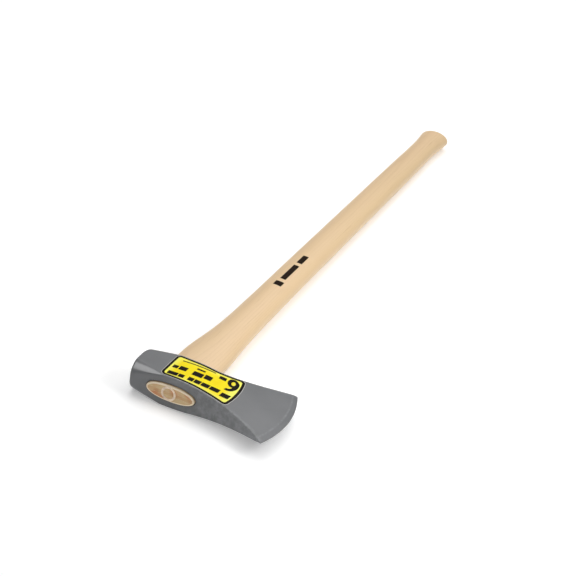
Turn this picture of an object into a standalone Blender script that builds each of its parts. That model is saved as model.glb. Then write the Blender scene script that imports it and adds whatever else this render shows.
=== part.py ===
"""A splitting maul lying on one cheek: forged head, hickory handle, two wedges and a label.

+X runs towards the bit, +Y runs down the handle from the head to the butt, and +Z leaves the
labelled cheek. Every shape is written in the head's own frame, whose origin is the middle of the
eye at the top of the head. The empty maul_frame carries that frame, so that the middle of the
underside of the maul's box is at the world's origin.
"""

import bmesh
import bpy
import numpy as np
from mathutils import Matrix

MM = 0.001
GAP = 0.3 * MM  # clearance left between pieces that touch in the real maul

# Head, along X: the poll's striking face, the end of its chamfers, the start of the taper, the edge
POLL_X = -60 * MM
CHAMFER_END = -14 * MM
TAPER_START = 15 * MM
EDGE_X = 139 * MM

# Head, across Z: half the thickness of the cheeks and of the edge, and how blunt the taper is
CHEEK_HALF = 22.5 * MM
EDGE_HALF = 0.5 * MM
TAPER_POWER = 0.72

# Head, along Y: its height at the eye, and how far the poll, the toe and the heel spread past it
HEAD_HEIGHT = 54.5 * MM
POLL_SPREAD = 2.8 * MM
TOE_FLARE = 31.9 * MM
TOE_START = 24 * MM
HEEL_FLARE = 35.4 * MM
HEEL_START = 35 * MM
HEEL_POWER = 1.6

# Bit and poll details: bow of the edge, lead of the toe, how far the poll's face falls back to the
# handle side, corner chamfers, ridges and rim
BOW_START = 20 * MM
EDGE_BOW = 12 * MM
TOE_LEAD = 2.3 * MM
POLL_FALL = 8 * MM
POLL_FLAT = 0.12  # the face is flat up to here, as a share of the way from its middle to its side
POLL_CHAMFER = 13 * MM
RIDGE = 1 * MM
RIM_RADIUS = 4 * MM
CHEEK_COLUMNS = 11

# Eye, an oval that is a little larger at the top of the head than at the handle
EYE_HALF_LENGTH = 34.2 * MM
EYE_HALF_WIDTH = 11.6 * MM
EYE_TAPER = 0.97
CUTTER_REACH = 12 * MM

# Handle
TENON_PROUD = 3 * MM
TENON_EASE = 0.8 * MM
BUTT_Y = 906.5 * MM
CROWN_HEIGHT = 4.5 * MM
CROWN_FLAT = 0.45  # size of the crown's flat tip, as a share of the butt
OVAL_POINTS = 44

# Distance from the head's top, half widths towards the poll and the bit, and half thickness, in mm
HANDLE_STATIONS = (
    (55, 33.0, 33.0, 11.0),
    (62, 33.5, 33.1, 11.7),
    (78, 33.8, 33.0, 12.7),
    (96, 33.6, 32.4, 13.4),
    (115, 32.2, 31.1, 14.0),
    (138, 29.0, 29.2, 14.4),
    (165, 25.8, 27.4, 14.6),
    (200, 23.6, 25.8, 14.6),
    (260, 22.6, 24.5, 14.5),
    (400, 22.1, 22.8, 14.1),
    (600, 21.2, 21.2, 13.6),
    (780, 20.2, 19.7, 13.2),
    (840, 19.5, 19.0, 13.0),
    (864, 19.6, 19.2, 13.3),
    (884, 21.0, 20.8, 14.6),
    (902, 22.0, 21.8, 15.4),
)

# Wedges: the kerf and its wooden wedge taper along Y. The ring wedge tapers to a thin rim, and
# stands a little towards the poll
KERF_DEPTH = 42 * MM
KERF_HALF_TOP = 2.4 * MM
KERF_HALF_BOTTOM = 0.9 * MM
WEDGE_HALF_LENGTH = 32.6 * MM
WEDGE_DEPTH = 40 * MM
RING_X = -2.0 * MM
RING_OUTER = 10.0 * MM
RING_OUTER_BOTTOM = 9.4 * MM
RING_INNER = 7.6 * MM
RING_INNER_BOTTOM = 8.6 * MM
RING_DEPTH = 16 * MM
TURNED_STEPS = 48

# Label
LABEL_START = -20 * MM
LABEL_END = 75 * MM
LABEL_MARGIN = 0.6 * MM
LABEL_CORNER = 4 * MM
LABEL_THICKNESS = 0.2 * MM

# Colour, metallic value and roughness of each piece
MATERIALS = {
    "head": ((0.185, 0.190, 0.197), 0.0, 0.45),
    "handle": ((0.760, 0.565, 0.330), 0.0, 0.42),
    "wood_wedge": ((0.600, 0.360, 0.185), 0.0, 0.55),
    "ring_wedge": ((0.680, 0.500, 0.390), 0.6, 0.40),
    "label": ((0.880, 0.780, 0.015), 0.0, 0.30),
}


def ramp(value, start, end):
    """0 at and before start, 1 at and past end, and a straight line between them."""
    return np.clip((value - start) / (end - start), 0.0, 1.0)


def top_y(x):
    """Y of the head's top side, which flares out to the toe."""
    return -TOE_FLARE * ramp(x, TOE_START, EDGE_X) ** 2


def bottom_y(x):
    """Y of the head's handle side, which spreads a little at the poll and flares out to the heel."""
    poll = POLL_SPREAD * ramp(x, 0.0, POLL_X)
    heel = HEEL_FLARE * ramp(x, HEEL_START, EDGE_X) ** HEEL_POWER
    return HEAD_HEIGHT + poll + heel


def half_thickness(x):
    """Half the distance between the cheeks: flat past the eye, then convex down to the edge."""
    left = 1.0 - ramp(x, TAPER_START, EDGE_X)
    return EDGE_HALF + (CHEEK_HALF - EDGE_HALF) * left ** TAPER_POWER


def chamfer(x):
    """Width of the corner chamfers, which shrink from the poll to a softened ridge."""
    width = RIDGE + (POLL_CHAMFER - RIDGE) * ramp(x, CHAMFER_END, POLL_X)
    return min(width, half_thickness(x) / 2)


def bowed(x, y):
    """X of the points y of the section that starts at x.

    Sections near the bit bow like its edge, and sections near the poll fall back like its face.
    """
    middle = (top_y(x) + bottom_y(x)) / 2
    across = (y - middle) / (bottom_y(x) - middle)
    bit = ramp(x, BOW_START, EDGE_X) * (EDGE_BOW * (1.0 - across ** 2) - TOE_LEAD * across)
    poll = ramp(x, CHAMFER_END, POLL_X) ** 2 * POLL_FALL * ramp(across, POLL_FLAT, 1.0) ** 1.5
    return x + bit + poll


def head_ring(x, inset=0.0):
    """One section of the head: up one cheek and back down the other, with chamfered corners."""
    corner = chamfer(x) - inset * (2.0 - np.sqrt(2.0))
    top = top_y(x) + inset
    bottom = bottom_y(x) - inset
    half = half_thickness(x) - inset
    inner = np.linspace(top + corner, bottom - corner, CHEEK_COLUMNS)
    y = np.concatenate([[top], inner, [bottom]])
    z = np.full(len(y), half)
    z[[0, -1]] -= corner
    front = np.column_stack([bowed(x, y), y, z])
    return np.vstack([front, front[::-1] * (1, 1, -1)])


def head_rings():
    """The head's sections, from the rounded rim of the poll to the edge of the bit."""
    rings = []
    for angle in np.linspace(0.0, np.pi / 2, 5):
        x = POLL_X + RIM_RADIUS * (1.0 - np.cos(angle))
        rings.append(head_ring(x, RIM_RADIUS * (1.0 - np.sin(angle))))
    for x in np.linspace(POLL_X + RIM_RADIUS, TAPER_START, 8)[1:]:
        rings.append(head_ring(x))
    for left in np.linspace(1.0, 0.0, 18)[1:] ** 1.3:
        rings.append(head_ring(EDGE_X - (EDGE_X - TAPER_START) * left))
    return rings


def smooth_table(stations, at):
    """Reads the columns of a station table at the positions in at, along smooth cubic curves."""
    table = np.array(stations, float)
    known, values = table[:, 0], table[:, 1:]
    slopes = np.gradient(values, known, axis=0)
    low = np.clip(np.searchsorted(known, at) - 1, 0, len(known) - 2)
    span = (known[low + 1] - known[low])[:, None]
    t = (at - known[low])[:, None] / span
    start = (2 * t ** 3 - 3 * t ** 2 + 1) * values[low] + (t ** 3 - 2 * t ** 2 + t) * span * slopes[low]
    end = (3 * t ** 2 - 2 * t ** 3) * values[low + 1] + (t ** 3 - t ** 2) * span * slopes[low + 1]
    return start + end


def oval(y, poll_half, bit_half, half):
    """An oval section at y, with its own half width on each side of the middle."""
    angle = (np.arange(OVAL_POINTS) + 0.5) * 2 * np.pi / OVAL_POINTS
    width = np.where(np.cos(angle) > 0, bit_half, poll_half)
    return np.column_stack([width * np.cos(angle), np.full(OVAL_POINTS, y), half * np.sin(angle)])


def eye_halves(y):
    """Half the length and half the width of the eye at y."""
    scale = 1.0 - (1.0 - EYE_TAPER) * y / HEAD_HEIGHT
    return EYE_HALF_LENGTH * scale, EYE_HALF_WIDTH * scale


def tenon_oval(y, inset=0.0):
    """A section of the tenon, which fills the eye but for the gap."""
    length, width = eye_halves(y)
    return oval(y, length - GAP - inset, length - GAP - inset, width - GAP - inset)


def handle_rings():
    """The handle's sections: tenon, shoulder, shaft and flare by the stations, then the crown."""
    rings = [tenon_oval(-TENON_PROUD, TENON_EASE)]
    for y in (TENON_EASE - TENON_PROUD, HEAD_HEIGHT / 3, HEAD_HEIGHT * 2 / 3):
        rings.append(tenon_oval(y))
    first, last = HANDLE_STATIONS[0][0], HANDLE_STATIONS[-1][0]
    positions = np.concatenate([np.linspace(first, 205, 20), np.linspace(205, 830, 16)[1:],
                                np.linspace(830, last, 11)[1:]])
    sizes = smooth_table(HANDLE_STATIONS, positions)
    for y, halves in zip(positions, sizes):
        rings.append(oval(y * MM, *halves * MM))
    for share in np.linspace(1.0, CROWN_FLAT, 7)[1:]:
        rise = np.sqrt((1.0 - share ** 2) / (1.0 - CROWN_FLAT ** 2))
        rings.append(oval(BUTT_Y - CROWN_HEIGHT * (1.0 - rise), *sizes[-1] * MM * share))
    return rings


def new_object(name, mesh, collection, parent):
    """Puts a mesh into the scene, on the maul's frame."""
    item = bpy.data.objects.new(name, mesh)
    item.parent = parent
    collection.objects.link(item)
    return item


def finish_mesh(name, work):
    """Turns a bmesh into a mesh with its faces pointing outwards."""
    bmesh.ops.recalc_face_normals(work, faces=work.faces)
    mesh = bpy.data.meshes.new(name)
    work.to_mesh(mesh)
    work.free()
    return mesh


def loft_mesh(name, rings):
    """A closed body through rings of equal length, whose ends are closed by strips across them."""
    work = bmesh.new()
    loops = [[work.verts.new(point) for point in ring] for ring in rings]
    count = len(loops[0])
    for near, far in zip(loops, loops[1:]):
        for i in range(count):
            j = (i + 1) % count
            work.faces.new((near[i], near[j], far[j], far[i]))
    for loop in (loops[0], loops[-1]):
        for i in range(count // 2 - 1):
            work.faces.new((loop[i], loop[i + 1], loop[count - 2 - i], loop[count - 1 - i]))
    return finish_mesh(name, work)


def oval_cone_mesh(name, start, end):
    """An oval cone along Y between two depths of the eye, as its cutter."""
    long_start, wide_start = eye_halves(start)
    long_end = eye_halves(end)[0]
    place = Matrix.Translation((0, (start + end) / 2, 0)) @ Matrix.Rotation(-np.pi / 2, 4, "X")
    squash = Matrix.Diagonal((1, 1, wide_start / long_start, 1))
    work = bmesh.new()
    bmesh.ops.create_cone(work, cap_ends=True, segments=64, radius1=long_start, radius2=long_end,
                          depth=end - start, matrix=squash @ place)
    return finish_mesh(name, work)


def tapered_block_mesh(name, half_length, half_top, half_bottom, start, end):
    """A block along X that thins across Z from its top, at y = start, to its bottom, at y = end."""
    work = bmesh.new()
    bmesh.ops.create_cube(work, size=1.0)
    for vert in work.verts:
        half = half_top if vert.co.y < 0 else half_bottom
        vert.co.x *= 2 * half_length
        vert.co.y = start if vert.co.y < 0 else end
        vert.co.z *= 2 * half
    return finish_mesh(name, work)


def profile_mesh(name, profile):
    """A closed outline of (radius, y) points, to be turned about Y."""
    mesh = bpy.data.meshes.new(name)
    count = len(profile)
    mesh.from_pydata([(r, y, 0.0) for r, y in profile], [(i, (i + 1) % count) for i in range(count)], [])
    return mesh


def add_turning(item):
    """Turns an object's outline into a ring about its Y axis."""
    screw = item.modifiers.new("turn", "SCREW")
    screw.axis = "Y"
    screw.steps = TURNED_STEPS
    screw.render_steps = TURNED_STEPS
    screw.use_merge_vertices = True
    screw.merge_threshold = 0.00001
    screw.use_smooth_shade = False


def add_cut(item, cutter):
    """Cuts one object out of another."""
    cut = item.modifiers.new(cutter.name, "BOOLEAN")
    cut.operation = "DIFFERENCE"
    cut.solver = "EXACT"
    cut.object = cutter


def label_mesh(name):
    """The label's underside, a sheet on the +Z cheek that keeps clear of the ridges."""
    ends = LABEL_CORNER * (1.0 - np.cos(np.linspace(0.0, np.pi / 2, 5)))
    inner = np.linspace(LABEL_START + LABEL_CORNER, LABEL_END - LABEL_CORNER, 12)[1:-1]
    rows = np.concatenate([LABEL_START + ends, inner, (LABEL_END - ends)[::-1]])
    points = []
    for x in rows:
        from_end = min(x - LABEL_START, LABEL_END - x, LABEL_CORNER)
        corner = LABEL_CORNER - np.sqrt(LABEL_CORNER ** 2 - (LABEL_CORNER - from_end) ** 2)
        inset = chamfer(x) + LABEL_MARGIN + corner
        y = np.linspace(top_y(x) + inset, bottom_y(x) - inset, CHEEK_COLUMNS)
        z = np.full(CHEEK_COLUMNS, half_thickness(x) + GAP)
        points.append(np.column_stack([bowed(x, y), y, z]))
    index = np.arange(len(rows) * CHEEK_COLUMNS).reshape(len(rows), CHEEK_COLUMNS)
    faces = np.stack([index[:-1, :-1], index[1:, :-1], index[1:, 1:], index[:-1, 1:]], axis=-1)
    mesh = bpy.data.meshes.new(name)
    mesh.from_pydata(np.vstack(points).tolist(), [], faces.reshape(-1, 4).tolist())
    return mesh


def add_material(item):
    """Gives a piece its own Principled material."""
    colour, metallic, roughness = MATERIALS[item.name]
    material = bpy.data.materials.new(item.name)
    material.use_nodes = True
    shader = material.node_tree.nodes["Principled BSDF"]
    shader.inputs["Base Color"].default_value = (*colour, 1.0)
    shader.inputs["Metallic"].default_value = metallic
    shader.inputs["Roughness"].default_value = roughness
    item.data.materials.append(material)


def clear_scene():
    """Removes what the scene held before."""
    for item in list(bpy.data.objects):
        bpy.data.objects.remove(item)


def new_collection(name):
    """A new collection in the scene."""
    collection = bpy.data.collections.new(name)
    bpy.context.scene.collection.children.link(collection)
    return collection


def new_frame(collection):
    """The empty that carries the head's frame, placed so that the maul's box stands on the origin."""
    edge = head_ring(EDGE_X)
    middle_x = (POLL_X + edge[:, 0].max()) / 2
    middle_y = (edge[:, 1].min() + BUTT_Y) / 2
    frame = bpy.data.objects.new("maul_frame", None)
    frame.location = (-middle_x, -middle_y, CHEEK_HALF)
    frame.empty_display_size = 0.05
    collection.objects.link(frame)
    return frame


def build_cutters(collection, frame):
    """The eye, the kerf and the ring wedge's groove."""
    eye = oval_cone_mesh("eye_cutter", -CUTTER_REACH, HEAD_HEIGHT + CUTTER_REACH)
    kerf = tapered_block_mesh("kerf_cutter", EYE_HALF_LENGTH + CUTTER_REACH, KERF_HALF_TOP + GAP,
                              KERF_HALF_BOTTOM + GAP, -TENON_PROUD - GAP, KERF_DEPTH)
    groove = profile_mesh("groove_cutter", (
        (RING_INNER - GAP, -CUTTER_REACH),
        (RING_INNER - GAP, RING_DEPTH + GAP),
        (RING_OUTER + GAP, RING_DEPTH + GAP),
        (RING_OUTER + GAP, -CUTTER_REACH),
    ))
    cutters = [new_object(mesh.name, mesh, collection, frame) for mesh in (eye, kerf, groove)]
    for cutter in cutters:
        cutter.hide_render = True
        cutter.display_type = "WIRE"
    add_turning(cutters[2])
    cutters[2].location.x = RING_X
    return cutters


def build_maul():
    """The five pieces of the maul, each an object of its own."""
    clear_scene()
    maul = new_collection("splitting_maul")
    frame = new_frame(maul)
    eye, kerf, groove = build_cutters(new_collection("cutters"), frame)

    head = new_object("head", loft_mesh("head", head_rings()), maul, frame)
    add_cut(head, eye)

    handle = new_object("handle", loft_mesh("handle", handle_rings()), maul, frame)
    add_cut(handle, kerf)
    add_cut(handle, groove)

    wedge_mesh = tapered_block_mesh("wood_wedge", WEDGE_HALF_LENGTH, KERF_HALF_TOP, KERF_HALF_BOTTOM,
                                    -TENON_PROUD, WEDGE_DEPTH)
    wood_wedge = new_object("wood_wedge", wedge_mesh, maul, frame)
    add_cut(wood_wedge, groove)

    ring_wedge = new_object("ring_wedge", profile_mesh("ring_wedge", (
        (RING_INNER, -TENON_PROUD),
        (RING_INNER_BOTTOM, RING_DEPTH),
        (RING_OUTER_BOTTOM, RING_DEPTH),
        (RING_OUTER, -TENON_PROUD),
    )), maul, frame)
    add_turning(ring_wedge)
    ring_wedge.location.x = RING_X

    label = new_object("label", label_mesh("label"), maul, frame)
    thickness = label.modifiers.new("thickness", "SOLIDIFY")
    thickness.thickness = LABEL_THICKNESS
    thickness.offset = 1.0

    for item in (head, handle, wood_wedge, ring_wedge, label):
        add_material(item)


build_maul()
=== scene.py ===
# %% [markdown]
# # A splitting maul, piece by piece
# A splitting maul is a wedge of forged steel on a long hickory handle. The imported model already
# holds its plain solids, so each cell here makes one finished piece on top of them: the painted
# head, the handle with its grain, the two wedges in the eye, and the printed label.
# The first cell loads those solids. Everything is in metres, with +X towards the bit, +Y down the
# handle and +Z out of the labelled cheek.

import bpy
import numpy as np
from mathutils import Matrix, Vector


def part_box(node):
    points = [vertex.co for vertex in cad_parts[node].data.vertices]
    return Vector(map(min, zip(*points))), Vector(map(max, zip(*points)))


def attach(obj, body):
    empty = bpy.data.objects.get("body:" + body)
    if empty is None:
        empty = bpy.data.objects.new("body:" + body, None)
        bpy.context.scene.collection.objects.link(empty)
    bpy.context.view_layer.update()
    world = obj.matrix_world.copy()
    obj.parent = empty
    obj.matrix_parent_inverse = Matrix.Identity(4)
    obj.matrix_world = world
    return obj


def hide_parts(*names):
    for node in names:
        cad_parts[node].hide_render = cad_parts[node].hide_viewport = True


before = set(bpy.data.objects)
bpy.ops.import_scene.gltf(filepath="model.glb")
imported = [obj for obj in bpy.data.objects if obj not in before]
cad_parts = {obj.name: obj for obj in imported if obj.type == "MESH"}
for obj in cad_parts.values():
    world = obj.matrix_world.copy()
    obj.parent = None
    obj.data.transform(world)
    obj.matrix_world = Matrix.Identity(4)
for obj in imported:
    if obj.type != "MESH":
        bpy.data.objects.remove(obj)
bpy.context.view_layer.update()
MM = 0.001
print("CAD nodes:", sorted(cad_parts))

# %% [markdown]
# ## The head's own frame
# A forger measures a head from its eye. The wooden wedge lies along the middle of the eye and the
# cheeks are the same distance either side of the head's middle, so those two boxes give the point
# that every size below is counted from: the middle of the eye at the top of the head.

# %% The middle of the eye
TENON_PROUD = 3 * MM  # how far the wood stands out of the top of the head
head_low, head_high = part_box("head")
wedge_low, wedge_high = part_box("wood_wedge")
butt_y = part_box("handle")[1].y
eye_middle = np.array([
    (wedge_low.x + wedge_high.x) / 2,
    wedge_low.y + TENON_PROUD,
    (head_low.z + head_high.z) / 2,
])
BUTT = butt_y - eye_middle[1]
print("middle of the eye:", eye_middle.round(4), "handle below it:", round(BUTT, 4))

# %% [markdown]
# ## Surfaces as grids
# Most pieces here are lofts: closed rings of points, one after another along the piece. Numpy
# works out all the rings at once as an array of rows by columns by 3, and one helper turns any
# such array into a mesh. A ring that lists its points so that point i and its opposite number
# are mirror images can be closed at its end by a ladder of short faces, which needs no pole.

# %% Helpers: meshes, lofts and ramps


def mesh_object(name, points, faces, sharp=30.0):
    """Puts points (n, 3), given in the head's frame, and four-cornered faces (m, 4) into a mesh.

    Faces are shaded smooth, and edges that turn by more than sharp degrees stay crisp.
    """
    mesh = bpy.data.meshes.new(name)
    mesh.vertices.add(len(points))
    mesh.vertices.foreach_set("co", (points + eye_middle).astype(np.float32).ravel())
    mesh.loops.add(faces.size)
    mesh.loops.foreach_set("vertex_index", faces.astype(np.int32).ravel())
    mesh.polygons.add(len(faces))
    mesh.polygons.foreach_set("loop_start", np.arange(0, faces.size, 4, dtype=np.int32))
    mesh.polygons.foreach_set("use_smooth", np.ones(len(faces), bool))
    mesh.update(calc_edges=True)
    mesh.validate()
    mesh.set_sharp_from_angle(angle=np.radians(sharp))
    item = bpy.data.objects.new(name, mesh)
    bpy.context.scene.collection.objects.link(item)
    return item


def quads(index, close_rows=False, close_columns=False):
    """The faces between neighbours of an index grid, wrapped round where it is closed."""
    if close_rows:
        index = np.vstack([index, index[:1]])
    if close_columns:
        index = np.hstack([index, index[:, :1]])
    corners = (index[:-1, :-1], index[1:, :-1], index[1:, 1:], index[:-1, 1:])
    return np.stack(corners, axis=-1).reshape(-1, 4)


def ladder(ring):
    """The faces across one ring of indices, from each point to its mirror image."""
    half = len(ring) // 2
    near, far = ring[:half], ring[::-1][:half]
    return np.stack([near[:-1], near[1:], far[1:], far[:-1]], axis=-1)


def loft(name, rings, sharp=30.0):
    """A closed body through rings (rows, columns, 3), with a ladder of faces over each end."""
    index = np.arange(rings.shape[0] * rings.shape[1]).reshape(rings.shape[:2])
    start, end = ladder(index[0]), ladder(index[-1])[:, ::-1]
    faces = np.vstack([quads(index, close_columns=True), start, end])
    return outward(mesh_object(name, rings.reshape(-1, 3), faces, sharp))


def vertex_points(mesh):
    """A mesh's vertices as an array (n, 3)."""
    points = np.empty(len(mesh.vertices) * 3, np.float32)
    mesh.vertices.foreach_get("co", points)
    return points.reshape(-1, 3)


def outward(item):
    """Turns a closed piece's faces outwards: the volume inside them, summed, has to be positive."""
    mesh = item.data
    points = vertex_points(mesh)
    points = points - points.mean(0)
    mesh.calc_loop_triangles()
    corners = np.empty(len(mesh.loop_triangles) * 3, np.int32)
    mesh.loop_triangles.foreach_get("vertices", corners)
    a, b, c = (points[corners[i::3]] for i in range(3))
    if np.einsum("ij,ij->", a, np.cross(b, c)) < 0:
        mesh.flip_normals()
    return item


def ramp(value, start, end):
    """0 at and before start, 1 at and past end, and a straight line between them."""
    return np.clip((value - start) / (end - start), 0.0, 1.0)


def soft_ramp(value, start, width):
    """0 well before start and value minus start well past it, joined by a parabola width wide."""
    before = np.clip(value - start + width / 2, 0.0, width)
    return before ** 2 / (2 * width) + np.clip(value - start - width / 2, 0.0, None)


# %% [markdown]
# ## The shape of the head
# The head is one loft along X. Its sections change kind on the way: a tall octagon at the poll,
# a plain block round the eye, and a thin bowed strip at the edge. Five small formulas carry all
# of it: the top side, the handle side, the thickness, the cut of the corners, and a bow that also
# lets the lower part of the poll's face fall back.
# Two things are finer than in the plain solid: the taper starts in a soft curve in place of a crease,
# and the last few millimetres are a separate ground bevel, whose upper border is the faint line that
# runs parallel to the edge; a painted highlight along that border makes the line lighter.

# %% The head's formulas
POLL_X, CHAMFER_END, TAPER_START, EDGE_X = -60 * MM, -14 * MM, 15 * MM, 138.9 * MM
CHEEK_HALF, EDGE_HALF, TAPER_POWER = 22.5 * MM, 0.5 * MM, 0.72
HEAD_HEIGHT, POLL_SPREAD = 54.5 * MM, 2.8 * MM
TOE_FLARE, TOE_START, TOE_CORNER = 32.2 * MM, 24 * MM, 0.8 * MM
HEEL_FLARE, HEEL_START, HEEL_POWER, HEEL_CORNER = 35.4 * MM, 35 * MM, 1.6, 4.5 * MM
BOW_START, EDGE_BOW, TOE_LEAD = 20 * MM, 12 * MM, 2.3 * MM
POLL_FALL, POLL_FLAT, FALL_POWER = 8 * MM, 0.12, 1.5  # the poll's face falls back past POLL_FLAT
POLL_CHAMFER, RIM_RADIUS = 13 * MM, 3 * MM
RIDGE_RADIUS, POLL_RIDGE_RADIUS = 1.5 * MM, 16 * MM
LARGEST_RADIUS, LARGEST_CUT = 0.8, 0.55  # of a corner, as shares of the half thickness
BEVEL_WIDTH = 7 * MM
TAPER_SOFTNESS = 30 * MM
ARC_TO_TANGENT = np.tan(np.pi / 8)  # length of tangent a 45 degree arc of radius 1 takes up
CORNER_SHARE = 0.62  # the cut under a plain rounded ridge, as a share of its radius


def corner_rounding(x, radius):
    """How far a side is pulled in just before the edge, so that its corner is a quarter circle."""
    into = np.clip(radius - (EDGE_X - x), 0.0, radius)
    return radius - np.sqrt(radius ** 2 - into ** 2)


def top_side(x):
    """Y of the top of the head: level, then a parabola out to the toe."""
    return -TOE_FLARE * ramp(x, TOE_START, EDGE_X) ** 2 + corner_rounding(x, TOE_CORNER)


def handle_side(x):
    """Y of the head's handle side: in from the poll to the eye, then out to the heel."""
    poll = POLL_SPREAD * ramp(x, 0.0, POLL_X)
    heel = HEEL_FLARE * ramp(x, HEEL_START, EDGE_X) ** HEEL_POWER
    return HEAD_HEIGHT + poll + heel - corner_rounding(x, HEEL_CORNER)


def half_thickness(x):
    """Half the thickness: flat past the eye, a convex taper, and a straight bevel at the edge."""
    length = EDGE_X - TAPER_START
    left = 1.0 - soft_ramp(x, TAPER_START, TAPER_SOFTNESS) / length
    bevel_left = BEVEL_WIDTH / length
    taper = np.clip(left, bevel_left, 1.0) ** TAPER_POWER
    bevel = bevel_left ** TAPER_POWER * (1.0 - np.clip(left / bevel_left, 0.0, 1.0))
    return EDGE_HALF + (CHEEK_HALF - EDGE_HALF) * (taper - bevel)


def corner_cut(poll_share):
    """How much the corners are cut, from a plain ridge at the share 0 to the poll's chamfer at 1."""
    return CORNER_SHARE * RIDGE_RADIUS + (POLL_CHAMFER - RIDGE_RADIUS) * poll_share


def bowed(x, y):
    """X of the points y of the section that starts at x.

    The edge's bow grows in a line up to the edge. The poll's fall grows as a square up to the poll,
    and across the head it starts just past the middle and is steepest at the handle side.
    """
    middle = (top_side(x) + handle_side(x)) / 2
    across = (y - middle) / (handle_side(x) - middle)
    bit = ramp(x, BOW_START, EDGE_X) * (EDGE_BOW * (1.0 - across ** 2) - TOE_LEAD * across)
    poll = ramp(x, CHAMFER_END, POLL_X) ** 2 * POLL_FALL * ramp(across, POLL_FLAT, 1.0) ** FALL_POWER
    return x + bit + poll


def head_rings(x, inset):
    """The head's sections at each x, pulled in by each inset.

    Each is a rectangle whose corners are cut at 45 degrees. Both ends of a cut are arcs of 45
    degrees, so a cut of 0.62 radii has almost no flat left and is a plain rounded ridge.
    """
    x, inset = x[:, None], inset[:, None]
    half = half_thickness(x) - inset
    poll_share = ramp(x, CHAMFER_END, POLL_X)
    radius = RIDGE_RADIUS + (POLL_RIDGE_RADIUS - RIDGE_RADIUS) * poll_share ** 2
    radius = np.minimum(radius, half * LARGEST_RADIUS)
    cut = np.minimum(corner_cut(poll_share), half * LARGEST_CUT)
    cut = np.maximum(cut - (2 - np.sqrt(2)) * inset, CORNER_SHARE * radius)
    straight = half - cut - radius * ARC_TO_TANGENT
    low_turn, high_turn = np.linspace(0, np.pi / 4, 5), np.linspace(np.pi / 4, np.pi / 2, 5)
    depth = np.hstack([
        radius * (1 - np.cos(low_turn)),
        cut + radius * (ARC_TO_TANGENT - np.cos(high_turn)),
    ])
    z = np.hstack([
        straight + radius * np.sin(low_turn),
        half - radius * (1 - np.sin(high_turn)),
    ])
    top, bottom = top_side(x) + inset + depth, handle_side(x) - inset - depth
    cheek = np.linspace(0, 1, 26)[1:-1] * (bottom[:, -1:] - top[:, -1:]) + top[:, -1:]
    y = np.hstack([top, cheek, bottom[:, ::-1]])
    z = np.hstack([z, np.repeat(z[:, -1:], cheek.shape[1], axis=1), z[:, ::-1]])
    front = np.stack([bowed(x, y), y, z], axis=-1)
    return np.concatenate([front, front[:, ::-1] * (1, 1, -1)], axis=1)


print("head:", round((EDGE_X - POLL_X) / MM, 1), "mm from the poll to the corner of the edge")

# %% [markdown]
# ## Cutting the eye
# The eye is an oval hole right through the head, a little larger at the top so that the wedged
# wood can't slip back. A hole is easiest as a Boolean: an oval plug is lofted and taken out of
# the head. The plug widens where it leaves the steel, which leaves a steep chamfer at each mouth:
# it shows as the dark line round the wood.

# %% The head and its eye
EYE_HALF_LENGTH, EYE_HALF_WIDTH, EYE_TAPER = 34.2 * MM, 11.6 * MM, 0.97
MOUTH_WIDER, MOUTH_DEPTH, PLUG_REACH = 1.3 * MM, 4.0 * MM, 9 * MM
EYE_BLUNTNESS = 0.92  # power of the cosine and the sine: 1 is a true oval, and less has fuller ends


def eye_scale(y):
    """The eye's size at y as a share of its size at the top of the head."""
    return 1.0 - (1.0 - EYE_TAPER) * y / HEAD_HEIGHT


def as_columns(first, *others):
    """The first array as a column, and each other value as a column of the same length."""
    return (np.broadcast_to(value, np.shape(first))[:, None] for value in (first, *others))


def oval_rings(y, left, right, half, power=1.0, count=96):
    """Oval sections at each y: x is left or right times the cosine, and z is half times the sine.

    Both the cosine and the sine are raised to the power, and keep their signs.
    """
    angle = (np.arange(count) + 0.5) * 2 * np.pi / count
    across, up = (np.sign(v) * abs(v) ** power for v in (np.cos(angle), np.sin(angle)))
    y, left, right, half = as_columns(y, left, right, half)
    return np.stack([np.where(across > 0, right, left) * across, y + 0 * angle, half * up], axis=-1)


def cut_out(item, *plugs):
    """Takes each plug out of a piece with an exact Boolean, keeps the result and drops the plugs."""
    for plug in plugs:
        cut = item.modifiers.new(plug.name, "BOOLEAN")
        cut.operation = "DIFFERENCE"
        cut.solver = "EXACT"
        cut.object = plug
    bpy.context.view_layer.update()
    shaped = item.evaluated_get(bpy.context.evaluated_depsgraph_get())
    mesh = bpy.data.meshes.new_from_object(shaped)
    mesh.name = item.name
    item.modifiers.clear()
    item.data = mesh
    mesh.set_sharp_from_angle(angle=np.radians(30.0))
    weighted = item.modifiers.new("flat_faces_stay_flat", "WEIGHTED_NORMAL")
    weighted.keep_sharp = True
    for plug in plugs:
        bpy.data.objects.remove(plug)
    return item


rim_turn = np.linspace(0, np.pi / 2, 9)
rim_x = POLL_X + RIM_RADIUS * (1 - np.cos(rim_turn))
rim_inset = RIM_RADIUS * (1 - np.sin(rim_turn))
body_x = np.linspace(POLL_X + RIM_RADIUS, EDGE_X - BEVEL_WIDTH, 96)[1:]
bevel_x = EDGE_X - BEVEL_WIDTH * (1 - np.sin(np.linspace(0, np.pi / 2, 14)))[1:]
head_x = np.concatenate([rim_x, body_x, bevel_x])
head = loft("maul_head", head_rings(head_x, np.concatenate([rim_inset, 0 * body_x, 0 * bevel_x])))

plug_y = np.array([-PLUG_REACH, MOUTH_DEPTH, HEAD_HEIGHT - MOUTH_DEPTH, HEAD_HEIGHT + PLUG_REACH])
plug_wider = MOUTH_WIDER * (1 + PLUG_REACH / MOUTH_DEPTH) * np.array([1, 0, 0, 1])
plug_length = EYE_HALF_LENGTH * eye_scale(plug_y) + plug_wider
plug_width = EYE_HALF_WIDTH * eye_scale(plug_y) + plug_wider
eye_plug = loft("eye_plug", oval_rings(plug_y, plug_length, plug_length, plug_width, EYE_BLUNTNESS))
cut_out(head, eye_plug)
print("head:", len(head.data.polygons), "faces")
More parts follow.
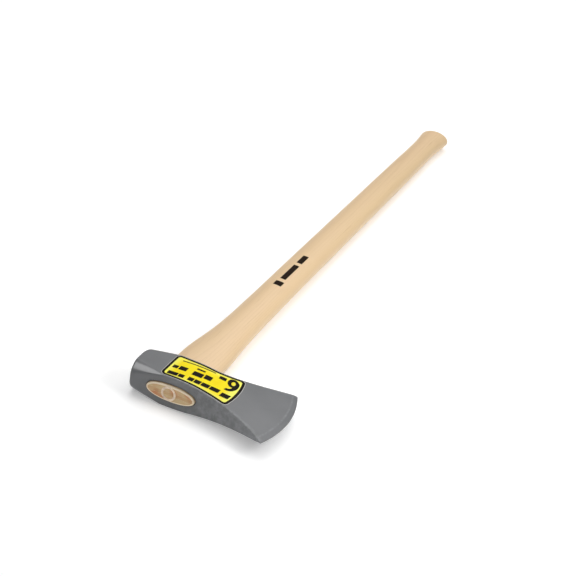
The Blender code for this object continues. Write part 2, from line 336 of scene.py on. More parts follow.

# %% [markdown]
# ## Where the paint is lighter
# The ridges, and the line where the ground bevel starts, turn a lighter grey: partly paint rubbed
# thin, and partly a painted highlight. How much is worked out for every vertex from how far it lies
# inside each side of its section, and is kept in an attribute that the paint reads.

# %% Rubbed paint and painted highlight on the ridges and the bevel
RIDGE_LIGHT_FULL, RIDGE_LIGHT_NONE = 0.9 * MM, 2.6 * MM  # lighter up to the first distance from a ridge: rubbed paint and a painted highlight
LIGHTEN_FROM_X, LIGHTEN_FULL_X = -20 * MM, 30 * MM  # x where the ridges start to turn lighter, and where they are fully lighter
BEVEL_WEAR_AND_HIGHLIGHT, BEVEL_LINE_WIDTH = 0.6, 1.4 * MM
CLEAN_EDGE = 1.2 * MM  # the sharp edge itself is evenly painted


def keep_values(item, name, values):
    """Keeps one number for each vertex in an attribute that a material can read."""
    attribute = item.data.attributes.new(name, "FLOAT", "POINT")
    attribute.data.foreach_set("value", values.astype(np.float32))


px, py, pz = (vertex_points(head.data) - eye_middle).T
section = px.copy()
for _ in range(12):  # bowed() moves a section along X, so step back until it lands on the vertex
    section = np.clip(section + px - bowed(section, py), POLL_X, EDGE_X)
inside_y = np.minimum(py - top_side(section), handle_side(section) - py)
inside_z = half_thickness(section) - abs(pz)
from_ridge = np.maximum(inside_y, 0) + np.maximum(inside_z, 0)
ridge_wear_and_highlight = 1 - ramp(from_ridge, RIDGE_LIGHT_FULL, RIDGE_LIGHT_NONE)
bevel_wear_and_highlight = 1 - ramp(abs(EDGE_X - BEVEL_WIDTH - section), 0.0, BEVEL_LINE_WIDTH)
at_edge = ramp(section, EDGE_X - CLEAN_EDGE, EDGE_X)
# The lighter grey is partly paint rubbed thin and partly a painted highlight on the ridges and the bevel
# line.
wear_and_highlight = np.maximum(ridge_wear_and_highlight * ramp(section, LIGHTEN_FROM_X, LIGHTEN_FULL_X), bevel_wear_and_highlight * BEVEL_WEAR_AND_HIGHLIGHT) * (1 - at_edge)
keep_values(head, "wear_and_highlight", wear_and_highlight)
print("worn vertices:", int((wear_and_highlight > 0.5).sum()))

# %% [markdown]
# ## The handle
# A hickory handle is turned on a copying lathe to an oval that fits the hands: about 48 by 29 mm
# under the head and slimmer towards the butt. It swells to the size of the eye at the shoulder,
# and flares at the butt so that it can't fly out of the hands. A short table of stations gives
# those sizes, and cubic curves between them give a smooth surface.

# %% The handle's sizes
WOOD_GAP = 0.1 * MM  # joint between wood and steel, too thin to see
HANDLE_STATIONS = np.array([  # from the top of the head: half widths to poll and bit, half thickness
    (55, 33.0, 33.0, 11.0),
    (62, 33.5, 33.1, 11.7),
    (78, 33.8, 33.0, 12.7),
    (96, 33.6, 32.4, 13.4),
    (115, 32.2, 31.1, 14.0),
    (138, 29.0, 29.2, 14.4),
    (165, 25.8, 27.4, 14.6),
    (200, 23.6, 25.8, 14.6),
    (260, 22.6, 24.5, 14.5),
    (400, 22.1, 22.8, 14.1),
    (600, 21.2, 21.2, 13.6),
    (780, 20.2, 19.7, 13.2),
    (840, 19.5, 19.0, 13.0),
    (864, 19.6, 19.2, 13.3),
    (884, 21.0, 20.8, 13.6),
    (902, 22.0, 21.8, 13.4),
]) * MM


def handle_sizes(y):
    """The half widths and half thickness at each y, on cubic curves through the stations.

    Between two stations the curve is the cubic that has their values and their slopes, and a
    station's slope is the one between its neighbours.
    """
    known, values = HANDLE_STATIONS[:, 0], HANDLE_STATIONS[:, 1:]
    slopes = np.gradient(values, known, axis=0)
    low = np.clip(np.searchsorted(known, y) - 1, 0, len(known) - 2)
    span = (known[low + 1] - known[low])[:, None]
    t = (y - known[low])[:, None] / span
    start = (2 * t ** 3 - 3 * t ** 2 + 1) * values[low] + (t ** 3 - 2 * t ** 2 + t) * span * slopes[low]
    end = (3 * t ** 2 - 2 * t ** 3) * values[low + 1] + (t ** 3 - t ** 2) * span * slopes[low + 1]
    return (start + end).T


print("handle:", (handle_sizes(np.array([260 * MM]))[:, 0] / MM).round(1), "mm, half sizes below the head")

# %% [markdown]
# ## The ends of the handle
# The tenon's end is flush-cut, then its lip is eased so it doesn't splinter. The butt is crowned
# like a shallow dome. Both are rings of the same oval that shrink as they go: a quarter circle
# over the lip, and a fuller curve over the crown. The butt's end also slants a little, so the
# handle is shorter on the poll's side. Into the tenon's end, the kerf for the wooden wedge and the
# groove for the ring wedge are cut with Booleans, so the joint is really open.

# %% The handle
LIP, LIP_HEIGHT, LIP_SIDE_SHARE = 3.2 * MM, 1.4 * MM, 0.7  # the lip is narrower along the eye's sides
CROWN_HEIGHT, CROWN_POWER, CROWN_TIP = 4.5 * MM, 0.45, 0.03  # the last ring is CROWN_TIP of the butt
BUTT_SLANT, SLANT_START = 3.5 * MM, 880 * MM
KERF_TOP, KERF_BOTTOM, KERF_DEPTH = 2.4 * MM, 0.9 * MM, 42 * MM  # half widths at its ends, and its depth
WEDGE_HALF_LENGTH, WEDGE_DEPTH = 33.1 * MM, 40 * MM
GROOVE_DEPTH = 16 * MM
CUTTER_TOP = -12 * MM  # what cuts the kerf and the groove starts well above the tenon's end
RING_OUTLINE = np.array([  # (radius, y) from the bore over the top, and down to the sharp lower rim
    (7.4, -2.85), (7.48, -3.05), (7.7, -3.15), (9.8, -3.15), (10.1, -3.05), (10.2, -2.85),
    (9.7, 14.0), (9.0, 15.8), (8.6, 14.0),
]) * MM
ring_low, ring_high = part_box("ring_wedge")
ring_x = (ring_low.x + ring_high.x) / 2 - eye_middle[0]

face_rows = np.linspace(0.04, 0.97, 9)  # shares of the tenon's flat end
lip_turn = np.linspace(0, np.pi / 2, 7)
eye_y = np.linspace(0, HEAD_HEIGHT, 7)[:-1]
lip_y = -TENON_PROUD + LIP_HEIGHT * (1 - np.cos(lip_turn))
tenon_y = np.concatenate([0 * face_rows - TENON_PROUD, lip_y, eye_y])
lip_inset = np.concatenate([0 * face_rows + LIP, LIP * (1 - np.sin(lip_turn)), 0 * eye_y])
face_share = np.concatenate([face_rows, 0 * lip_y + 1, 0 * eye_y + 1])
tenon_length = (EYE_HALF_LENGTH * eye_scale(tenon_y) - WOOD_GAP - lip_inset) * face_share
tenon_width = (EYE_HALF_WIDTH * eye_scale(tenon_y) - WOOD_GAP - lip_inset * LIP_SIDE_SHARE) * face_share

shaft_y = np.concatenate([  # rows are closer together where the shape changes faster
    np.linspace(55, 210, 60), np.linspace(210, 830, 120)[1:], np.linspace(830, 902, 40)[1:]
]) * MM
shaft_poll, shaft_bit, shaft_half = handle_sizes(shaft_y)
crown_turn = np.linspace(0, np.pi / 2, 24)[1:]
crown_share = np.maximum(np.cos(crown_turn) ** CROWN_POWER, CROWN_TIP)
crown_y = BUTT - CROWN_HEIGHT * (1 - np.sin(crown_turn))
crown_sizes = [size[-1] * crown_share for size in (shaft_poll, shaft_bit, shaft_half)]

handle_rings = np.concatenate([
    oval_rings(tenon_y, tenon_length, tenon_length, tenon_width, EYE_BLUNTNESS),
    oval_rings(shaft_y, shaft_poll, shaft_bit, shaft_half),
    oval_rings(crown_y, *crown_sizes),
])
slant = BUTT_SLANT * ramp(handle_rings[..., 1], SLANT_START, BUTT)
handle_rings[..., 1] -= slant * (1 - handle_rings[..., 0] / shaft_poll[-1]) / 2
handle = loft("maul_handle", handle_rings)


def block_rings(y, half_length, half_width):
    """Rectangular sections at each y, as four corners in an order that a ladder can close."""
    sign_x, sign_z = np.array([1, -1, -1, 1]), np.array([1, 1, -1, -1])
    y, half_length, half_width = as_columns(y, half_length, half_width)
    return np.stack([half_length * sign_x, y + 0 * sign_x, half_width * sign_z], axis=-1)


def turned(name, radius, y, count=96):
    """A closed outline of (radius, y) points turned about the ring wedge's axis.

    X and z are radius times the cosine and the sine of the turn.
    """
    angle = (np.arange(count) * 2 * np.pi / count)[:, None]
    rings = np.stack([ring_x + radius * np.cos(angle), y + 0 * angle, radius * np.sin(angle)], axis=-1)
    index = np.arange(count * len(radius)).reshape(count, -1)
    return outward(mesh_object(name, rings.reshape(-1, 3), quads(index, True, True), 35.0))


kerf_y = np.array([CUTTER_TOP, -TENON_PROUD, KERF_DEPTH])
kerf_half = np.array([KERF_TOP, KERF_TOP, KERF_BOTTOM]) + WOOD_GAP
kerf = loft("kerf", block_rings(kerf_y, WEDGE_HALF_LENGTH + WOOD_GAP, kerf_half))
groove_inner = RING_OUTLINE[:, 0].min() - WOOD_GAP
groove_outer = RING_OUTLINE[:, 0].max() + WOOD_GAP
groove_radius = np.array([groove_inner, groove_inner, groove_outer, groove_outer])
groove_y = np.array([CUTTER_TOP, GROOVE_DEPTH, GROOVE_DEPTH, CUTTER_TOP])
groove = turned("groove", groove_radius, groove_y)
cut_out(handle, kerf, groove)
print("handle:", len(handle.data.polygons), "faces")

# %% [markdown]
# ## The wedges
# The wooden wedge fills the kerf from end to end, so only its end grain shows. The ring wedge is
# a short steel tube that was driven in last: it is turned here from a closed outline whose top
# edges are softened and whose lower rim is sharp enough to bite into the wood.

# %% The wooden wedge and the ring wedge
wedge_y = np.append(lip_y, WEDGE_DEPTH)
wedge_half = KERF_TOP + (KERF_BOTTOM - KERF_TOP) * ramp(wedge_y, -TENON_PROUD, KERF_DEPTH)
lip_length = EYE_HALF_LENGTH - LIP * (1 - np.sin(lip_turn))
wedge_length = np.append(np.minimum(lip_length, WEDGE_HALF_LENGTH), WEDGE_HALF_LENGTH)
wood_wedge = loft("kerf_wedge", block_rings(wedge_y, wedge_length, wedge_half))
wedge_groove = turned("wedge_groove", groove_radius, groove_y)
cut_out(wood_wedge, wedge_groove)

ring = turned("ring_wedge_steel", *RING_OUTLINE.T)
print("ring wedge:", tuple(round(v / MM, 1) for v in ring.dimensions), "mm")

# %% [markdown]
# ## The label
# The label is a vinyl sticker that fills the cheek beside the eye. It is printed in layers, so it
# is built in layers: a pale backing, a black plate a little smaller, a yellow field smaller
# again, and black print on top. Every layer is a grid of (x, y) points that is laid on the cheek
# by looking up the cheek's own thickness there, so it follows the curve of the steel. The yellow
# is printed paler towards its border, so the field keeps how near each point is to it.

# %% Laying a layer on the cheek
LABEL_START, LABEL_END, LABEL_CORNER, LABEL_MARGIN = -20 * MM, 75 * MM, 6 * MM, 0.6 * MM
BORDER_INSET, FIELD_INSET, PALE_REACH = 0.6 * MM, 4.0 * MM, 13 * MM
CORNER_SHRINK = 0.7  # a corner's radius shrinks by this share of the inset
LAYER = 0.04 * MM


def sheet_solid(name, top, thickness, closed=False):
    """A thin closed solid from a grid of points (rows, columns, 3) and its copy a little lower.

    Strips of faces join the two along their borders: one strip runs once round an open grid, and
    a closed grid, whose first row follows its last, has one along each side.
    """
    count = top.shape[0] * top.shape[1]
    index = np.arange(count).reshape(top.shape[:2])
    round_it = np.concatenate([index[:-1, 0], index[-1, :-1], index[:0:-1, -1], index[0, :0:-1]])
    faces = [quads(index, closed), quads(index + count, closed)[:, ::-1]]
    for border in (index[:, 0], index[::-1, -1]) if closed else (round_it,):
        following = np.roll(border, -1)
        faces.append(np.stack([border + count, following + count, following, border], axis=-1))
    faces = np.vstack(faces)
    points = np.vstack([top.reshape(-1, 3), top.reshape(-1, 3) - (0, 0, thickness)])
    return outward(mesh_object(name, points, faces, 60.0))


def on_cheek(x, y, lift):
    """Points of the labelled cheek at section x and height y, lifted off the steel."""
    return np.stack([bowed(x, y), y + 0 * x, half_thickness(x) + lift + 0 * y], axis=-1)


def rounded_span(start, end, corner, bends, rows):
    """X from start to end, and how far each is pulled in from the sides.

    The corners are quarter circles, and x crowds together over them.
    """
    bend = corner * (1 - np.cos(np.linspace(0, np.pi / 2, bends)))
    straight = np.linspace(start + corner, end - corner, rows)[1:-1]
    x = np.concatenate([start + bend, straight, (end - bend)[::-1]])
    into = np.clip(corner - np.minimum(x - start, end - x), 0.0, corner)
    return x, corner - np.sqrt(corner ** 2 - into ** 2)


def label_layer(name, inset, layer):
    """The label's outline pulled in by inset, as the given layer of print."""
    corner = LABEL_CORNER - inset * CORNER_SHRINK
    x, rounding = rounded_span(LABEL_START + inset, LABEL_END - inset, corner, bends=9, rows=40)
    side = inset + rounding + corner_cut(ramp(x, CHAMFER_END, POLL_X)) + LABEL_MARGIN
    low, high = (top_side(x) + side)[:, None], (handle_side(x) - side)[:, None]
    y = low + (high - low) * np.linspace(0, 1, 24)
    return sheet_solid(name, on_cheek(x[:, None], y, LAYER * (layer + 1)), LAYER)


label_back = label_layer("label_backing", 0.0, 0)
label_border = label_layer("label_border", BORDER_INSET, 1)
label_field = label_layer("label_field", FIELD_INSET, 2)
field_x, field_y = (vertex_points(label_field.data) - eye_middle).T[:2]
from_ends = np.minimum(field_x - LABEL_START, LABEL_END - field_x)
from_sides = np.minimum(field_y - top_side(field_x), handle_side(field_x) - field_y)
keep_values(label_field, "near_border", 1 - ramp(np.minimum(from_ends, from_sides), FIELD_INSET, PALE_REACH))
print("label:", len(label_field.data.polygons), "faces in its yellow field")

# %% [markdown]
# ## The print on the label
# A real label carries words. Here plain bars stand in for them, with one plain numeral for the
# weight of the head. A bar is a small grid with rounded corners. The numeral is two pen strokes,
# an oval bowl and an arc for its tail, each widened to both sides by half the stroke along its
# own normal.

# %% Bars and the numeral
PRINT_LIFT = LAYER * 5  # the print's top above the steel, clear of the field's at 3 layers


def join(name, items):
    """Makes several objects one piece."""
    bpy.ops.object.select_all(action="DESELECT")
    for item in items:
        item.select_set(True)
    bpy.context.view_layer.objects.active = items[0]
    bpy.ops.object.join()
    items[0].name = name
    return items[0]


def bar_grid(start, end, low, high, corner=0.5 * MM):
    """(x, y) of a bar's points: rows along X that a quarter circle shortens at both ends."""
    x, side = rounded_span(start, end, corner, bends=5, rows=9)
    across = np.linspace(0, 1, 5)
    return x[:, None] + 0 * across, (low + side)[:, None] + (high - low - 2 * side)[:, None] * across


def stroke_grid(path, width, closed=False):
    """(x, y) of a pen stroke: the path (n, 2) moved to both sides along its normal."""
    if closed:
        along = np.gradient(np.vstack([path[-1:], path, path[:1]]), axis=0)[1:-1]
    else:
        along = np.gradient(path, axis=0)
    normal = np.stack([-along[:, 1], along[:, 0]], axis=-1)
    normal /= np.linalg.norm(normal, axis=1, keepdims=True)
    across = np.linspace(-0.5, 0.5, 5)[None, :, None] * width
    grid = path[:, None, :] + normal[:, None, :] * across
    return grid[..., 0], grid[..., 1]


def arc_path(middle, size, angle):
    """Points (n, 2) of an arc: middle plus size times the cosine and the sine, both in mm."""
    return (np.array(middle) + np.array(size) * np.stack([np.cos(angle), np.sin(angle)], axis=-1)) * MM


# Each bar: from x, to x, from y, to y, in mm from the middle of the eye at the top of the head.
LABEL_BARS = (
    (43.4, 55.0, 7.4, 15.4), (32.6, 42.4, 7.4, 15.4), (23.6, 31.6, 7.4, 15.4), (15.2, 22.6, 7.4, 15.4),
    (2.2, 9.8, 7.4, 14.8), (-12.4, 1.2, 7.4, 14.8),
    (29.0, 38.0, 23.5, 33.0), (14.5, 27.5, 21.5, 31.0), (-4.5, 6.0, 23.0, 32.0), (-13.0, -6.0, 23.5, 30.5),
    (14.8, 26.0, 35.8, 39.0), (43.4, 52.4, 36.6, 43.4), (-8.0, 37.0, 43.4, 45.2),
    (58.4, 69.2, 3.6, 12.6),
)
PRINT_SLOPE = 0.075  # lines of print lean to the handle side by this share of their way to the bit
bars = []
for number, bar in enumerate(LABEL_BARS):
    x, y = bar_grid(*(value * MM for value in bar))
    bars.append(sheet_solid(f"bar_{number}", on_cheek(x, y + PRINT_SLOPE * x, PRINT_LIFT), LAYER))
label_bars = join("label_bars", bars)

NUMERAL_STROKE = 4.8 * MM
bowl_path = arc_path((62.0, 43.2), (5.0, 6.6), np.linspace(0, 2 * np.pi, 49)[:-1])
tail_path = arc_path((58.6, 42.0), (8.4, -15.6), np.linspace(-0.3, np.radians(102), 24))
bowl_points = on_cheek(*stroke_grid(bowl_path, NUMERAL_STROKE, closed=True), PRINT_LIFT)
tail_points = on_cheek(*stroke_grid(tail_path, NUMERAL_STROKE), PRINT_LIFT + LAYER / 4)
numeral_bowl = sheet_solid("numeral_bowl", bowl_points, LAYER, closed=True)
numeral_tail = sheet_solid("numeral_tail", tail_points, LAYER)
label_numeral = join("label_numeral", [numeral_bowl, numeral_tail])
print("print:", len(LABEL_BARS), "bars and the numeral")

# %% [markdown]
# ## The stamp on the handle
# The handle is ink-stamped on its crown. The stamp here is three plain bars in place of a mark,
# laid on the oval wood in the same way as the label's print: the oval's formula gives the height
# of the surface under each point.

# %% The handle's stamp


def on_handle(x, y, lift):
    """Points of the handle's +Z side: half thickness times the root of 1 minus (x / half width)^2."""
    poll, bit, half = (values.reshape(y.shape) for values in handle_sizes(y.ravel()))
    width = np.where(x > 0, bit, poll)
    return np.stack([x, y, half * np.sqrt(1 - (x / width) ** 2) + lift], axis=-1)


# Each bar: from x, to x, from y, to y, in mm. The first is short and wide, and the others are long.
STAMP_BARS = ((-4.4, 7.6, 303.0, 315.0), (-2.8, 5.4, 323.0, 369.0), (-2.8, 5.4, 376.6, 401.0))
stamp_parts = []
for number, bar in enumerate(STAMP_BARS):
    x, y = bar_grid(*(value * MM for value in bar))
    stamp_parts.append(sheet_solid(f"stamp_{number}", on_handle(x, y, LAYER), LAYER))
handle_stamp = join("handle_stamp", stamp_parts)
print("stamp:", len(STAMP_BARS), "bars")

# %% [markdown]
# ## Materials
# Every finish is a small node tree on Object coordinates, so its pattern is solid: it runs
# through the piece as grain runs through wood, and needs no unwrapping. One helper makes the
# Principled shader with its plain values, and the others each add one kind of node and link it.

# %% Material helpers


def new_material(name, roughness, metallic=0.0, coat=0.0, coat_roughness=0.1, specular=None):
    """A Principled material with its plain values set on the shader's own sockets."""
    material = bpy.data.materials.new(name)
    material.use_nodes = True
    shader = material.node_tree.nodes["Principled BSDF"]
    shader.inputs["Roughness"].default_value = roughness
    shader.inputs["Metallic"].default_value = metallic
    shader.inputs["Coat Weight"].default_value = coat
    shader.inputs["Coat Roughness"].default_value = coat_roughness
    if specular is not None:
        shader.inputs["Specular IOR Level"].default_value = specular
    return material, shader


def feed(material, target, value):
    """Links a socket to an input, or sets the input to a plain number or (r, g, b)."""
    if isinstance(value, bpy.types.NodeSocket):
        material.node_tree.links.new(value, target)
    elif isinstance(value, tuple):
        target.default_value = (*value, 1.0)
    else:
        target.default_value = value


def add_node(material, kind, values=None, **links):
    """Adds a node, sets its inputs and its settings by name, and links inputs to the sockets given."""
    tree = material.node_tree
    node = tree.nodes.new(kind)
    for key, value in (values or {}).items():
        if key in node.inputs:
            node.inputs[key].default_value = value
        else:
            setattr(node, key, value)
    for key, socket in links.items():
        tree.links.new(socket, node.inputs[key.replace("_", " ")])
    return node


def calculate(material, operation, *values):
    """A Math node's result. Each value is a socket or a plain number."""
    node = add_node(material, "ShaderNodeMath", {"operation": operation})
    for target, value in zip(node.inputs, values):
        feed(material, target, value)
    return node.outputs[0]


def attribute_value(material, name):
    """The number that keep_values() kept at each vertex."""
    return add_node(material, "ShaderNodeAttribute", {"attribute_name": name}).outputs["Fac"]


def object_coordinates(material, scale=(1, 1, 1), location=(0, 0, 0)):
    """Object coordinates, moved and stretched."""
    source = add_node(material, "ShaderNodeTexCoord")
    mapping = add_node(material, "ShaderNodeMapping", {"Scale": scale, "Location": location},
                       Vector=source.outputs["Object"])
    return mapping.outputs["Vector"]


def noise(material, vector, scale, detail=4.0, roughness=0.5):
    """A noise texture's value on a vector, with scale in cycles a metre."""
    values = {"Scale": scale, "Detail": detail, "Roughness": roughness}
    return add_node(material, "ShaderNodeTexNoise", values, Vector=vector).outputs["Fac"]


def colour_ramp(material, socket, stops):
    """Colours along a value: stops are (position, (r, g, b))."""
    node = add_node(material, "ShaderNodeValToRGB", Fac=socket)
    elements = node.color_ramp.elements
    while len(elements) < len(stops):
        elements.new(0.5)
    for element, (position, colour) in zip(elements, stops):
        element.position = position
        element.color = (*colour, 1.0)
    return node.outputs["Color"]


def value_range(material, socket, low, high, to_low=0.0, to_high=1.0):
    """A value carried in a straight line from one range to another, and clamped."""
    values = {"From Min": low, "From Max": high, "To Min": to_low, "To Max": to_high}
    return add_node(material, "ShaderNodeMapRange", values, Value=socket).outputs["Result"]


def add_bump(material, shader, height, distance, strength=1.0):
    """Feeds a height into the shader's normal."""
    node = add_node(material, "ShaderNodeBump", {"Distance": distance, "Strength": strength}, Height=height)
    material.node_tree.links.new(node.outputs["Normal"], shader.inputs["Normal"])


def mix_colour(material, factor, first, second):
    """Mixes two colours, each a socket or a plain (r, g, b)."""
    node = add_node(material, "ShaderNodeMix", {"data_type": "RGBA"})
    for place, value in ((0, factor), (6, first), (7, second)):  # the node's sockets for colours
        feed(material, node.inputs[place], value)
    return node.outputs[2]


def set_finish(item, material):
    """Gives a piece one material."""
    item.data.materials.clear()
    item.data.materials.append(material)


# %% [markdown]
# ## Grey paint on forged steel
# The head was forged, ground and sprayed with satin grey paint. The paint hides the steel's
# colour and not its surface: the hammer's broad waves and a fine orange peel are both there, so
# the bump has two sizes. The grey itself drifts a little from place to place.

# %% Paint
paint, shader = new_material("satin_grey_paint", roughness=0.42)
place = object_coordinates(paint)
drift = noise(paint, place, 22.0, 3.0)
peel = noise(paint, place, 900.0, 2.0)
waves = noise(paint, place, 45.0, 2.0)
patches = noise(paint, place, 110.0, 4.0, 0.7)
grey = colour_ramp(paint, drift, ((0.30, (0.132, 0.136, 0.142)), (0.70, (0.156, 0.160, 0.166))))
broken_up = value_range(paint, patches, 0.40, 0.66, 0.05, 0.75)
# Rubbed paint and a painted highlight: a lighter grey on the ridges and the bevel line, broken up by noise.
lightened = calculate(paint, "MULTIPLY", attribute_value(paint, "wear_and_highlight"), broken_up)
feed(paint, shader.inputs["Base Color"], mix_colour(paint, lightened, grey, (0.30, 0.31, 0.32)))
feed(paint, shader.inputs["Roughness"], value_range(paint, peel, 0.3, 0.7, 0.34, 0.42))
height = calculate(paint, "MULTIPLY_ADD", waves, 7.0, peel)  # waves are seven times as deep as peel
add_bump(paint, shader, height, 0.012 * MM)
set_finish(head, paint)
print("paint:", len(paint.node_tree.nodes), "nodes")

# %% [markdown]
# ## Lacquered hickory
# Hickory's yearly rings are tubes round the heart of the tree, so the pattern is the distance
# from a line that runs beside the handle: on the sides it shows as long straight grain, and on
# both ends as arcs, with nothing extra to do. Noise stretched along the handle bends the rings
# and adds short dark pores. End grain drinks more lacquer, so inside the pale eased lip it turns
# amber.

# %% Wood
HEART_X, HEART_Z = 45 * MM, -115 * MM  # the middle of the tree, from the handle's own middle
GRAIN_STRETCH, PORE_STRETCH = 0.035, 0.012  # noise's scale along the handle, as a share of across it
RINGS_PER_METRE, RING_BEND = 430.0, 16 * MM  # noise pushes a ring out by up to RING_BEND
LIP_PALE_FROM, LIP_PALE_TO = -0.8 * MM, -1.6 * MM  # y over which the lip turns pale
END_GRAIN_FROM, END_GRAIN_TO = -2.955 * MM, -2.985 * MM  # y over which the cut end turns amber


def wood_material(name, pale, dark, ring_contrast, end_grain, rim):
    """Clear-lacquered wood with rings about a line along Y, pores, a pale lip and amber end grain."""
    material, shader = new_material(name, roughness=0.45, coat=0.15, coat_roughness=0.22, specular=0.3)
    heart = (-(eye_middle[0] + HEART_X), 0.0, -(eye_middle[2] + HEART_Z))
    place = object_coordinates(material, (1.0, GRAIN_STRETCH, 1.0), heart)
    parts = add_node(material, "ShaderNodeSeparateXYZ", Vector=place)
    across = add_node(material, "ShaderNodeCombineXYZ", X=parts.outputs["X"], Z=parts.outputs["Z"])
    distance = add_node(material, "ShaderNodeVectorMath", {"operation": "LENGTH"},
                        Vector=across.outputs["Vector"])
    bend = noise(material, place, 16.0, 3.0)
    radius = calculate(material, "MULTIPLY_ADD", bend, RING_BEND, distance.outputs["Value"])
    years = calculate(material, "MULTIPLY", radius, RINGS_PER_METRE)
    rings = colour_ramp(material, calculate(material, "FRACT", years), (
        (0.0, (0.0,) * 3), (0.55, (0.25,) * 3), (0.88, (1.0,) * 3), (1.0, (0.0,) * 3)))
    ring_amount = calculate(material, "MULTIPLY", rings, ring_contrast)

    broad = noise(material, place, 9.0, 2.0)
    colour = mix_colour(material, value_range(material, broad, 0.3, 0.7), pale, dark)
    colour = mix_colour(material, ring_amount, colour, (0.50, 0.30, 0.13))
    pores = noise(material, object_coordinates(material, (1.0, PORE_STRETCH, 1.0)), 1500.0, 2.0)
    pore_amount = value_range(material, pores, 0.60, 0.78, 0.0, 0.30)
    colour = mix_colour(material, pore_amount, colour, (0.42, 0.25, 0.11))

    top = eye_middle[1]
    along = add_node(material, "ShaderNodeSeparateXYZ", Vector=object_coordinates(material)).outputs["Y"]
    rim_share = value_range(material, along, top + LIP_PALE_FROM, top + LIP_PALE_TO)
    colour = mix_colour(material, rim_share, colour, rim)
    end_share = value_range(material, along, top + END_GRAIN_FROM, top + END_GRAIN_TO)
    mottle = noise(material, place, 55.0, 2.0)
    amber = mix_colour(material, value_range(material, mottle, 0.40, 0.60), *end_grain)
    amber = mix_colour(material, ring_amount, amber, (0.24, 0.10, 0.035))
    feed(material, shader.inputs["Base Color"], mix_colour(material, end_share, colour, amber))
    add_bump(material, shader, pores, 0.02 * MM, 0.6)
    return material


hickory = wood_material("lacquered_hickory", (0.82, 0.58, 0.38), (0.79, 0.60, 0.33), 0.12,
                        ((0.62, 0.27, 0.12), (0.66, 0.49, 0.26)), (0.95, 0.80, 0.58))
set_finish(handle, hickory)
wedge_wood = wood_material("wedge_wood", (0.52, 0.29, 0.13), (0.60, 0.36, 0.18), 0.20,
                           ((0.54, 0.27, 0.12), (0.64, 0.42, 0.21)), (0.90, 0.72, 0.50))
set_finish(wood_wedge, wedge_wood)
print("wood:", len(hickory.node_tree.nodes), "nodes each for the handle and the wedge")

# %% [markdown]
# ## Steel ring, vinyl and ink
# The ring wedge is bare steel under the same lacquer as the wood, which warms it. The vinyl is
# nearly matte, with a faint ripple from the steel beneath it. Ink is almost black, and the stamp
# on the handle is grainy, as ink is where it sinks into the wood's pores.

# %% Ring, label and ink
steel, shader = new_material("lacquered_steel", roughness=0.38, metallic=0.25, coat=0.3, coat_roughness=0.2)
marks = noise(steel, object_coordinates(steel), 260.0, 4.0, 0.6)
warm = colour_ramp(steel, marks, ((0.32, (0.56, 0.41, 0.30)), (0.60, (0.92, 0.76, 0.58))))
feed(steel, shader.inputs["Base Color"], warm)
add_bump(steel, shader, marks, 0.02 * MM)
set_finish(ring, steel)


def vinyl(name, light, dark, at_border=None):
    """Printed vinyl: a colour that drifts slightly and may change at the border, with a ripple."""
    material, shader = new_material(name, roughness=0.45, specular=0.08)
    drift = noise(material, object_coordinates(material), 70.0, 2.0)
    colour = colour_ramp(material, drift, ((0.3, dark), (0.7, light)))
    if at_border:
        colour = mix_colour(material, attribute_value(material, "near_border"), colour, at_border)
    feed(material, shader.inputs["Base Color"], colour)
    add_bump(material, shader, drift, 0.05 * MM)
    return material


set_finish(label_back, vinyl("pale_backing", (0.62, 0.60, 0.58), (0.52, 0.50, 0.48)))
set_finish(label_border, vinyl("black_vinyl", (0.010, 0.007, 0.003), (0.006, 0.004, 0.002)))
set_finish(label_field, vinyl("yellow_vinyl", (0.93, 0.78, 0.014), (0.91, 0.71, 0.010), (0.90, 0.88, 0.15)))
black_print = vinyl("black_print", (0.010, 0.006, 0.002), (0.004, 0.003, 0.001))
set_finish(label_bars, black_print)
set_finish(label_numeral, black_print)

stamp_ink, shader = new_material("stamp_ink", roughness=0.65, specular=0.1)
grainy = noise(stamp_ink, object_coordinates(stamp_ink, (1.0, 0.05, 1.0)), 1200.0, 2.0)
ink_colour = colour_ramp(stamp_ink, grainy, ((0.50, (0.010, 0.004, 0.001)), (0.80, (0.040, 0.020, 0.008))))
feed(stamp_ink, shader.inputs["Base Color"], ink_colour)
set_finish(handle_stamp, stamp_ink)
print("materials:", sorted(material.name for material in bpy.data.materials))

# %% [markdown]
# ## What each piece stands for
# Nothing on a maul moves, so every piece rides on the one body. Each says which plain solid it
# replaces, and that solid is hidden.

# %% Ride and replace
PIECES = (
    (head, "head"), (handle, "handle"), (wood_wedge, "wood_wedge"), (ring, "ring_wedge"),
    (label_back, "label"), (label_border, "label"), (label_field, "label"),
    (label_bars, "label"), (label_numeral, "label"), (handle_stamp, "handle"),
)
for piece, node in PIECES:
    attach(piece, "root")
    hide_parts(node)
print("pieces:", len(PIECES), "for", len({node for _, node in PIECES}), "plain solids")

# %% [markdown]
# ## The floor
# The maul rests on the handle side of its head and on its butt. The butt is slimmer than the
# head, so the floor is drawn tilted by that half degree. It is a studio's light table, a white
# sheet that glows a little, which keeps the shadows soft.

# %% Floor
FLOOR_GAP = 0.02 * MM  # keeps the floor just clear of the maul
butt_height = CHEEK_HALF - shaft_half[-1]
tilt = np.arctan2(butt_height, HANDLE_STATIONS[-1, 0] - HEAD_HEIGHT)
bpy.ops.mesh.primitive_plane_add(size=30.0)
floor = bpy.context.object
floor.name = "floor"
floor.rotation_euler = (tilt, 0, 0)
floor.location = (0, eye_middle[1] + HEAD_HEIGHT, -FLOOR_GAP)
floor_paint, shader = new_material("white_floor", roughness=0.9, specular=0.1)
feed(floor_paint, shader.inputs["Base Color"], (0.84, 0.84, 0.84))
feed(floor_paint, shader.inputs["Emission Color"], (1.0, 1.0, 1.0))
feed(floor_paint, shader.inputs["Emission Strength"], 0.30)
set_finish(floor, floor_paint)
print("floor tilted by", round(float(np.degrees(tilt)), 2), "degrees")

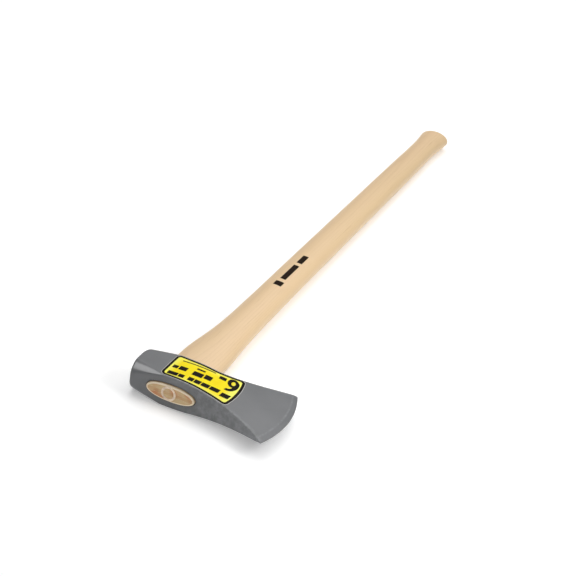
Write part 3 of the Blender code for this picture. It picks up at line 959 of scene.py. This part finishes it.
# %% [markdown]
# ## The lights
# One wide light hangs over the handle, so the cheeks are brighter than the top of the head, and
# two small ones fill the front and the bit. The card at the front left is only there to be
# mirrored in the poll's chamfer: small bright cards are how a studio shows that paint has a sheen.

# %% Lights
world = bpy.data.worlds.new("studio")
bpy.context.scene.world = world
world.use_nodes = True
background = world.node_tree.nodes["Background"]
background.inputs["Color"].default_value = (1.0, 1.0, 1.0, 1.0)
background.inputs["Strength"].default_value = 0.12


def softbox(name, middle, towards, size, power):
    """An area light, size (x, y), at a point in the head's frame, that faces another point."""
    light = bpy.data.lights.new(name, "AREA")
    light.shape = "RECTANGLE"
    light.size, light.size_y = size
    light.energy = power
    item = bpy.data.objects.new(name, light)
    middle, towards = Vector(middle), Vector(towards)
    item.location = Vector(eye_middle) + middle
    item.rotation_euler = (middle - towards).to_track_quat("Z", "Y").to_euler()
    item.visible_camera = False
    bpy.context.scene.collection.objects.link(item)
    return item


softbox("overhead", (-0.25, 1.3, 2.2), (-0.1, 1.0, 0.0), (3.0, 3.2), 58)
softbox("front_fill", (0.55, -1.30, 1.80), (0.0, 0.0, 0.0), (1.2, 1.2), 7)
softbox("bit_side", (0.80, 0.15, 0.75), (0.1, 0.03, 0.0), (0.4, 0.4), 4.2)
card = softbox("chamfer_card", (-1.36, -0.84, 1.52), (-0.03, 0.0, 0.0), (0.9, 0.9), 33)
card.visible_diffuse = False  # it shines in reflections and lights nothing
print("lights:", sorted(light.name for light in bpy.data.lights))

# %% [markdown]
# ## Camera
# The camera stands off the toe side of the head and looks down along the handle, through a long
# lens that keeps the near head from looming over the far butt. It is rolled a little, as a hand
# would hold it.

# %% Camera
AZIMUTH, ELEVATION, ROLL = np.radians((20.91, 30.13, 8.55))
DISTANCE, LENS = 2.8353, 131.4  # in metres, and in millimetres on a sensor 36 mm wide
AIM = Vector(eye_middle) + Vector((0.0277, 0.2792, 0.0304))

away, down = np.cos(ELEVATION), -np.sin(ELEVATION)
look = Vector((-np.sin(AZIMUTH) * away, np.cos(AZIMUTH) * away, down))
level = Vector((np.cos(AZIMUTH), np.sin(AZIMUTH), 0.0))
upright = level.cross(look)
right = level * np.cos(ROLL) + upright * np.sin(ROLL)
upwards = upright * np.cos(ROLL) - level * np.sin(ROLL)
camera_data = bpy.data.cameras.new("camera")
camera_data.lens = LENS
camera_data.sensor_width = 36.0
camera_data.clip_end = 60.0
camera = bpy.data.objects.new("camera", camera_data)
turn = Matrix((right, upwards, -look)).transposed().to_4x4()
camera.matrix_world = Matrix.Translation(AIM - look * DISTANCE) @ turn
bpy.context.scene.collection.objects.link(camera)
bpy.context.scene.camera = camera
bpy.context.scene.view_settings.view_transform = "Standard"
print("camera:", [round(v, 3) for v in camera.matrix_world.translation], "with a lens of", LENS, "mm")
